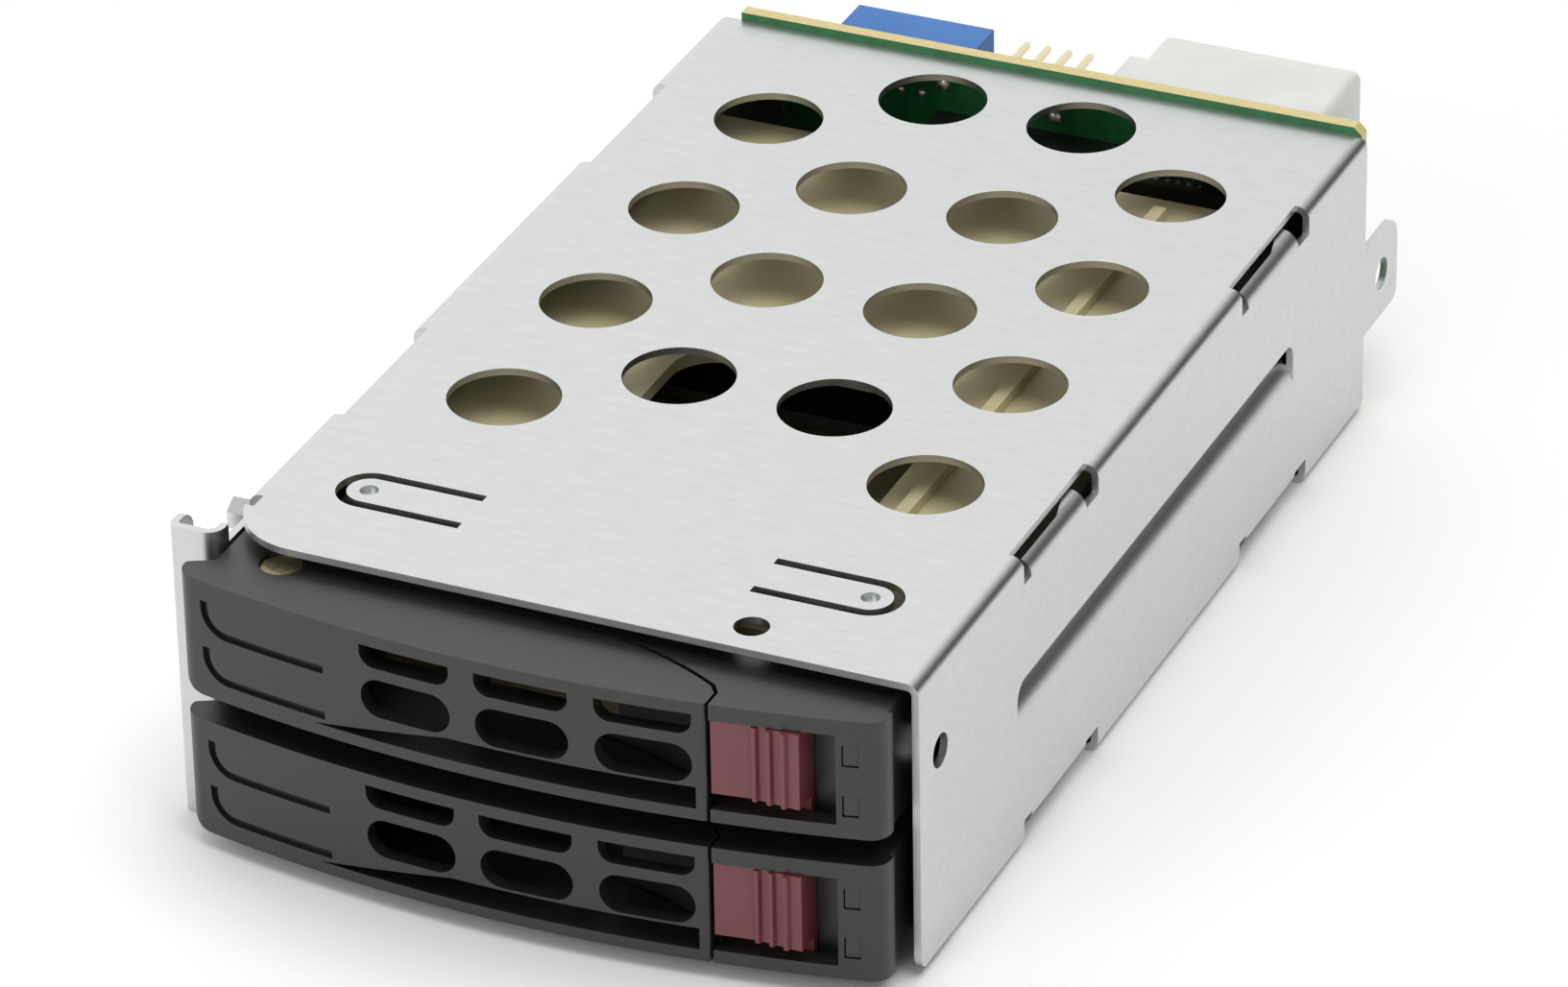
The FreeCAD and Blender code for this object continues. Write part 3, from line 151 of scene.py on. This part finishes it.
def bump(material, shader, height, strength, distance):
    """A relief on the surface, with its depth in metres."""
    node = add_node(material, "ShaderNodeBump", Strength=strength, Distance=distance)
    link(material, height, node.inputs["Height"])
    link(material, node.outputs["Normal"], shader.inputs["Normal"])


def galvanised_steel():
    """Zinc-coated sheet: soft cloudy mottling, fine rolling streaks and a matt shine."""
    material, shader = new_material("galvanised_steel", (0.62, 0.63, 0.63), 0.42, metallic=1.0)
    clouds = noise(material, place_pattern(material, (0.3, 1.0, 1.0)), 0.9, 6.0, 0.6)
    streaks = noise(material, place_pattern(material, (0.5, 3.0, 3.0)), 1.3, 5.0, 0.6)
    cloudy = ramp(material, clouds, 0.25, 0.75)
    tone = blend_colours(material, cloudy, (0.59, 0.605, 0.6), (0.65, 0.665, 0.66))
    link(material, tone, shader.inputs["Base Color"])
    link(material, ramp(material, streaks, 0.25, 0.75, 0.3, 0.42), shader.inputs["Roughness"])
    bump(material, shader, streaks, 0.1, 0.00003)
    return material


def plain_metal(name, colour, roughness):
    """A turned or drawn metal with faint working marks."""
    material, shader = new_material(name, colour, roughness, metallic=1.0)
    marks = noise(material, place_pattern(material, (1, 1, 6)), 2.5, 3.0)
    worked = ramp(material, marks, 0.3, 0.7, roughness * 0.8, roughness * 1.2)
    link(material, worked, shader.inputs["Roughness"])
    return material


def moulded_plastic(name, colour, roughness, grain=0.35, specular=0.5):
    """Moulded plastic with the fine spark-eroded grain of its tool."""
    material, shader = new_material(name, colour, roughness, specular=specular)
    vector = place_pattern(material)
    fine = noise(material, vector, 7.0, 3.0, 0.6)
    broad = noise(material, vector, 0.12, 3.0, 0.5)
    darker = [part * 0.95 for part in colour]
    lighter = [part * 1.05 for part in colour]
    tone = blend_colours(material, ramp(material, broad, 0.3, 0.7), darker, lighter)
    link(material, tone, shader.inputs["Base Color"])
    grainy = ramp(material, fine, 0.3, 0.7, roughness * 0.88, roughness * 1.12)
    link(material, grainy, shader.inputs["Roughness"])
    bump(material, shader, fine, grain, 0.00002)
    return material


def board_laminate():
    """Green solder mask on the faces and bare woven laminate on the cut edges."""
    material, shader = new_material("board_laminate", (0.02, 0.2, 0.04), 0.3)
    geometry = add_node(material, "ShaderNodeNewGeometry")
    split = add_node(material, "ShaderNodeSeparateXYZ")
    link(material, geometry.outputs["Normal"], split.inputs["Vector"])
    face = add_node(material, "ShaderNodeMath")
    face.operation = "ABSOLUTE"
    link(material, split.outputs["Y"], face.inputs[0])
    weave = noise(material, place_pattern(material, (1, 6, 1)), 1.2, 3.0)
    woven = ramp(material, weave, 0.3, 0.7)
    edge = blend_colours(material, woven, (0.55, 0.45, 0.16), (0.68, 0.58, 0.27))
    tracks = noise(material, place_pattern(material, (1, 1, 0.3)), 0.6, 2.0)
    tracked = ramp(material, tracks, 0.45, 0.55)
    mask = blend_colours(material, tracked, (0.007, 0.125, 0.032), (0.011, 0.152, 0.038))
    both = material.node_tree.nodes.new("ShaderNodeMix")
    both.data_type = "RGBA"
    link(material, ramp(material, face.outputs[0], 0.45, 0.55), both.inputs["Factor"])
    link(material, edge, both.inputs["A"])
    link(material, mask, both.inputs["B"])
    link(material, both.outputs["Result"], shader.inputs["Base Color"])
    return material


def clear_plastic():
    """The light pipes' clear plastic, which looks smoked over the dark bezel."""
    material, shader = new_material("smoked_plastic", (0.05, 0.05, 0.047), 0.35)
    shader.inputs["Transmission Weight"].default_value = 0.3
    shader.inputs["IOR"].default_value = 1.49
    haze = noise(material, place_pattern(material), 1.5, 3.0)
    link(material, ramp(material, haze, 0.3, 0.7, 0.32, 0.42), shader.inputs["Roughness"])
    return material


def translucent_nylon():
    """White nylon, which lets a little light into itself."""
    material = moulded_plastic("white_nylon", (0.66, 0.665, 0.645), 0.42, 0.15)
    shader = material.node_tree.nodes["Principled BSDF"]
    shader.inputs["Subsurface Weight"].default_value = 0.35
    shader.inputs["Subsurface Scale"].default_value = 0.002
    return material


MATERIALS = {
    "galvanised_steel": galvanised_steel(),
    "zinc_steel": plain_metal("zinc_steel", (0.8, 0.8, 0.79), 0.25),
    "board_green": board_laminate(),
    "blue_plastic": moulded_plastic("blue_plastic", (0.07, 0.19, 0.49), 0.5, specular=0.15),
    "black_plastic": moulded_plastic("black_plastic", (0.0105, 0.0103, 0.0096), 0.38, 0.5, 0.72),
    "white_plastic": translucent_nylon(),
    "gold_contact": plain_metal("gold_contact", (0.75, 0.66, 0.45), 0.25),
    "tin_contact": plain_metal("tin_contact", (0.78, 0.76, 0.7), 0.3),
    "red_plastic": moulded_plastic("red_plastic", (0.15, 0.028, 0.035), 0.42, 0.3, 0.7),
    "tan_plastic": moulded_plastic("tan_plastic", (0.6, 0.54, 0.33), 0.5, 0.4),
    "clear_plastic": clear_plastic(),
    "lamp_white": moulded_plastic("lamp_white", (0.8, 0.8, 0.72), 0.2, 0.0),
    "spring_steel": plain_metal("spring_steel", (0.55, 0.55, 0.55), 0.25),
    "brass": plain_metal("brass", (0.9, 0.8, 0.52), 0.4),
    "screw_steel": plain_metal("screw_steel", (0.62, 0.62, 0.62), 0.3),
}


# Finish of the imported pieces

def soften(piece, width, angle=35):
    """Rounds the piece's sharp edges by a small width, as real edges are."""
    modifier = piece.modifiers.new("soft_edges", "BEVEL")
    modifier.width = width
    modifier.segments = 2
    modifier.limit_method = "ANGLE"
    modifier.angle_limit = math.radians(angle)
    modifier.harden_normals = False
    modifier.use_clamp_overlap = True


def dress_nodes():
    """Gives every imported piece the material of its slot."""
    for part in frame["record"]["subparts"]:
        piece = nodes[part["node"]]
        piece.data.materials.clear()
        piece.data.materials.append(MATERIALS[part["material_slot"]])


def soften_nodes():
    """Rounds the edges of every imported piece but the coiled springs."""
    moulded = ("lever", "bezel", "button", "power_connector")
    for name in nodes:
        if "spring" not in name:
            broad = any(word in name for word in moulded) and "screw" not in name
            soften(nodes[name], (MOULDED_EDGE if broad else SHEET_EDGE) * MM)


# Small parts that only the look needs

def new_piece(name, shape, material_slot, body):
    """Makes a piece of a finished bmesh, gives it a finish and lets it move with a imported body."""
    mesh = bpy.data.meshes.new(name)
    shape.to_mesh(mesh)
    shape.free()
    mesh.materials.append(MATERIALS[material_slot])
    piece = bpy.data.objects.new(name, mesh)
    scene.collection.objects.link(piece)
    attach(piece, body)


def add_box(shape, low, high):
    """Adds a box between two corners, in millimetres."""
    middle = [(a + b) / 2 * MM for a, b in zip(low, high)]
    size = [(b - a) * MM for a, b in zip(low, high)]
    turn = Matrix.Translation(middle) @ Matrix.Diagonal((*size, 1))
    bmesh.ops.create_cube(shape, size=1, matrix=turn)


def add_dome(shape, centre, radius, height):
    """Adds a low solder dome whose flat side lies on the board's front face, in millimetres."""
    size = [radius * MM, height * MM, radius * MM]
    turn = Matrix.Translation([part * MM for part in centre]) @ Matrix.Diagonal((*size, 1))
    bmesh.ops.create_uvsphere(shape, u_segments=20, v_segments=12, radius=1, matrix=turn)


def box_mm(node):
    """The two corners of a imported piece's box, in millimetres."""
    low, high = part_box(node)
    return [part / MM for part in low], [part / MM for part in high]


def contact_windows():
    """A row of small tin boxes on each receptacle's top, one for each contact seen in its openings.
    """
    for bay in BAYS:
        low, high = box_mm(f"{bay}_drive_receptacle")
        first, last = box_mm(f"{bay}_receptacle_contacts")
        near, far = low[1] + 1.2, low[1] + 1.75
        under, over = high[2] - 0.02, high[2] + 0.05
        shape = bmesh.new()
        count = int((last[0] - first[0]) / CONTACT_PITCH)
        for index in range(count + 1):
            x = first[0] + CONTACT_PITCH * index
            add_box(shape, (x, near, under), (x + CONTACT_WIDTH, far, over))
        new_piece(f"{bay}_contact_windows", shape, "tin_contact", "cage")


def solder_joints():
    """Solder domes on the board's front, where the pins of the rear connectors come through."""
    shape = bmesh.new()
    board = box_mm("backplane_board")[0][1]
    pegs = ((-11.4, 31.0), (2.1, 29.5))
    for x, z in pegs:
        add_dome(shape, (x, board, z), *PEG_DOME)
    header, header_end = box_mm("header_pins")
    power, power_end = box_mm("power_pins")
    pins = 4
    for index in range(pins):
        share = index / (pins - 1)
        x = header[0] + HEADER_HALF + (header_end[0] - header[0] - 2 * HEADER_HALF) * share
        add_dome(shape, (x, board, header[2] + HEADER_HALF), *HEADER_DOME)
        x = power[0] + POWER_HALF + (power_end[0] - power[0] - 2 * POWER_HALF) * share
        add_dome(shape, (x, board, (power[2] + power_end[2]) / 2), *POWER_DOME)
    for bay in BAYS:
        low = box_mm(f"{bay}_signal_connector")[0]
        for index in range(7):
            x = low[0] + 4.4 + CONTACT_PITCH * index
            z = low[2] + 2.0 + 1.6 * (index % 2)
            add_dome(shape, (x, board, z), *SIGNAL_DOME)
    new_piece("solder_joints", shape, "tin_contact", "cage")


def board_parts():
    """Small chip parts on the board's front face, below the top edge."""
    board = box_mm("backplane_board")[0][1]
    bodies, ends = bmesh.new(), bmesh.new()
    body_face, end_face = board - CHIP_BODY_HEIGHT, board - CHIP_END_HEIGHT
    for column, x in enumerate(CHIP_COLUMNS):
        body_start, body_end = x + CHIP_END, x + CHIP_END + CHIP_BODY
        for row in range(2):
            z = CHIP_TOP_ROW - CHIP_ROW_PITCH * row + 0.8 * (column % 2)
            high = z + CHIP_DEPTH
            add_box(bodies, (body_start, body_face, z), (body_end, board, high))
            add_box(ends, (x, end_face, z), (body_start, board, high))
            add_box(ends, (body_end, end_face, z), (body_end + CHIP_END, board, high))
    new_piece("chip_bodies", bodies, "black_plastic", "cage")
    new_piece("chip_ends", ends, "tin_contact", "cage")


def button_coils():
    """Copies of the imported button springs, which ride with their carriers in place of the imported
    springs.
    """
    for bay in BAYS:
        node = f"{bay}_button_spring"
        coil = bpy.data.objects.new(f"{bay}_button_coil", nodes[node].data.copy())
        scene.collection.objects.link(coil)
        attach(coil, f"{bay}_carrier")
        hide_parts(node)
        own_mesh(coil)


# Light, floor and camera

def add_light(name, location, target, size, power):
    """A rectangular lamp that points at a target."""
    data = bpy.data.lights.new(name, "AREA")
    data.shape = "RECTANGLE"
    data.size, data.size_y = size
    data.energy = power
    light = bpy.data.objects.new(name, data)
    scene.collection.objects.link(light)
    light.location = location
    direction = Vector(target) - Vector(location)
    light.rotation_euler = direction.to_track_quat("-Z", "Y").to_euler()


def world_glow(tree, direction, start, end, outside, inside):
    """The world's strength changes smoothly from one level to another towards a direction."""
    place = tree.nodes.new("ShaderNodeTexCoord")
    toward = tree.nodes.new("ShaderNodeVectorMath")
    toward.operation = "DOT_PRODUCT"
    toward.inputs[1].default_value = Vector(direction).normalized()
    tree.links.new(place.outputs["Generated"], toward.inputs[0])
    shade = tree.nodes.new("ShaderNodeMapRange")
    shade.interpolation_type = "SMOOTHSTEP"
    levels = (("From Min", start), ("From Max", end), ("To Min", outside), ("To Max", inside))
    for socket, number in levels:
        shade.inputs[socket].default_value = number
    tree.links.new(toward.outputs["Value"], shade.inputs["Value"])
    return shade.outputs["Result"]


def studio():
    """A white world that lights the part unevenly, and two lamps. The camera sees plain white."""
    scene.view_settings.view_transform = "Standard"
    world = bpy.data.worlds.new("studio")
    scene.world = world
    world.use_nodes = True
    tree = world.node_tree
    background = tree.nodes["Background"]
    background.inputs["Color"].default_value = (1, 1, 1, 1)
    dark_side = world_glow(tree, (0.66, 0.72, 0.2), 0.3, 0.85, 0.5, 0.02)
    soft_sky = world_glow(tree, (-0.4, 0.76, 0.51), 0.55, 0.95, 0.0, 0.7)
    total = tree.nodes.new("ShaderNodeMath")
    tree.links.new(dark_side, total.inputs[0])
    tree.links.new(soft_sky, total.inputs[1])
    tree.links.new(total.outputs[0], background.inputs["Strength"])
    seen = tree.nodes.new("ShaderNodeBackground")
    seen.inputs["Color"].default_value = (1, 1, 1, 1)
    seen.inputs["Strength"].default_value = 1.0
    path = tree.nodes.new("ShaderNodeLightPath")
    mix = tree.nodes.new("ShaderNodeMixShader")
    tree.links.new(path.outputs["Is Camera Ray"], mix.inputs["Fac"])
    tree.links.new(background.outputs["Background"], mix.inputs[1])
    tree.links.new(seen.outputs["Background"], mix.inputs[2])
    tree.links.new(mix.outputs["Shader"], tree.nodes["World Output"].inputs["Surface"])
    add_light("key", (0.35, -0.05, 1.3), (0, 0, 0.02), (1.1, 1.1), 11.8)
    add_light("front", (-0.3, -0.9, 0.45), (0, -0.03, 0.02), (0.7, 0.5), 2.2)


def floor():
    """A sheet of white paper under the part."""
    mesh = bpy.data.meshes.new("floor")
    shape = bmesh.new()
    bmesh.ops.create_grid(shape, x_segments=1, y_segments=1, size=3.0)
    shape.to_mesh(mesh)
    shape.free()
    piece = bpy.data.objects.new("floor", mesh)
    scene.collection.objects.link(piece)
    piece.location.z = -FLOOR_GAP * MM
    material, shader = new_material("floor_paper", (0.93, 0.93, 0.93), 0.8, specular=0.1)
    mesh.materials.append(material)


def camera():
    """The photograph's viewpoint, worked out from the cage's edges and vents."""
    data = bpy.data.cameras.new("camera")
    data.sensor_width = 36.0
    data.lens = 194.0
    data.clip_start = 0.01
    viewer = bpy.data.objects.new("camera", data)
    scene.collection.objects.link(viewer)
    viewer.location = (0.32034, -0.70808, 0.46635)
    viewer.rotation_euler = [math.radians(angle) for angle in (59.803, 0.936, 24.035)]
    scene.camera = viewer


dress_nodes()
soften_nodes()
contact_windows()
solder_joints()
board_parts()
button_coils()
studio()
floor()
camera()
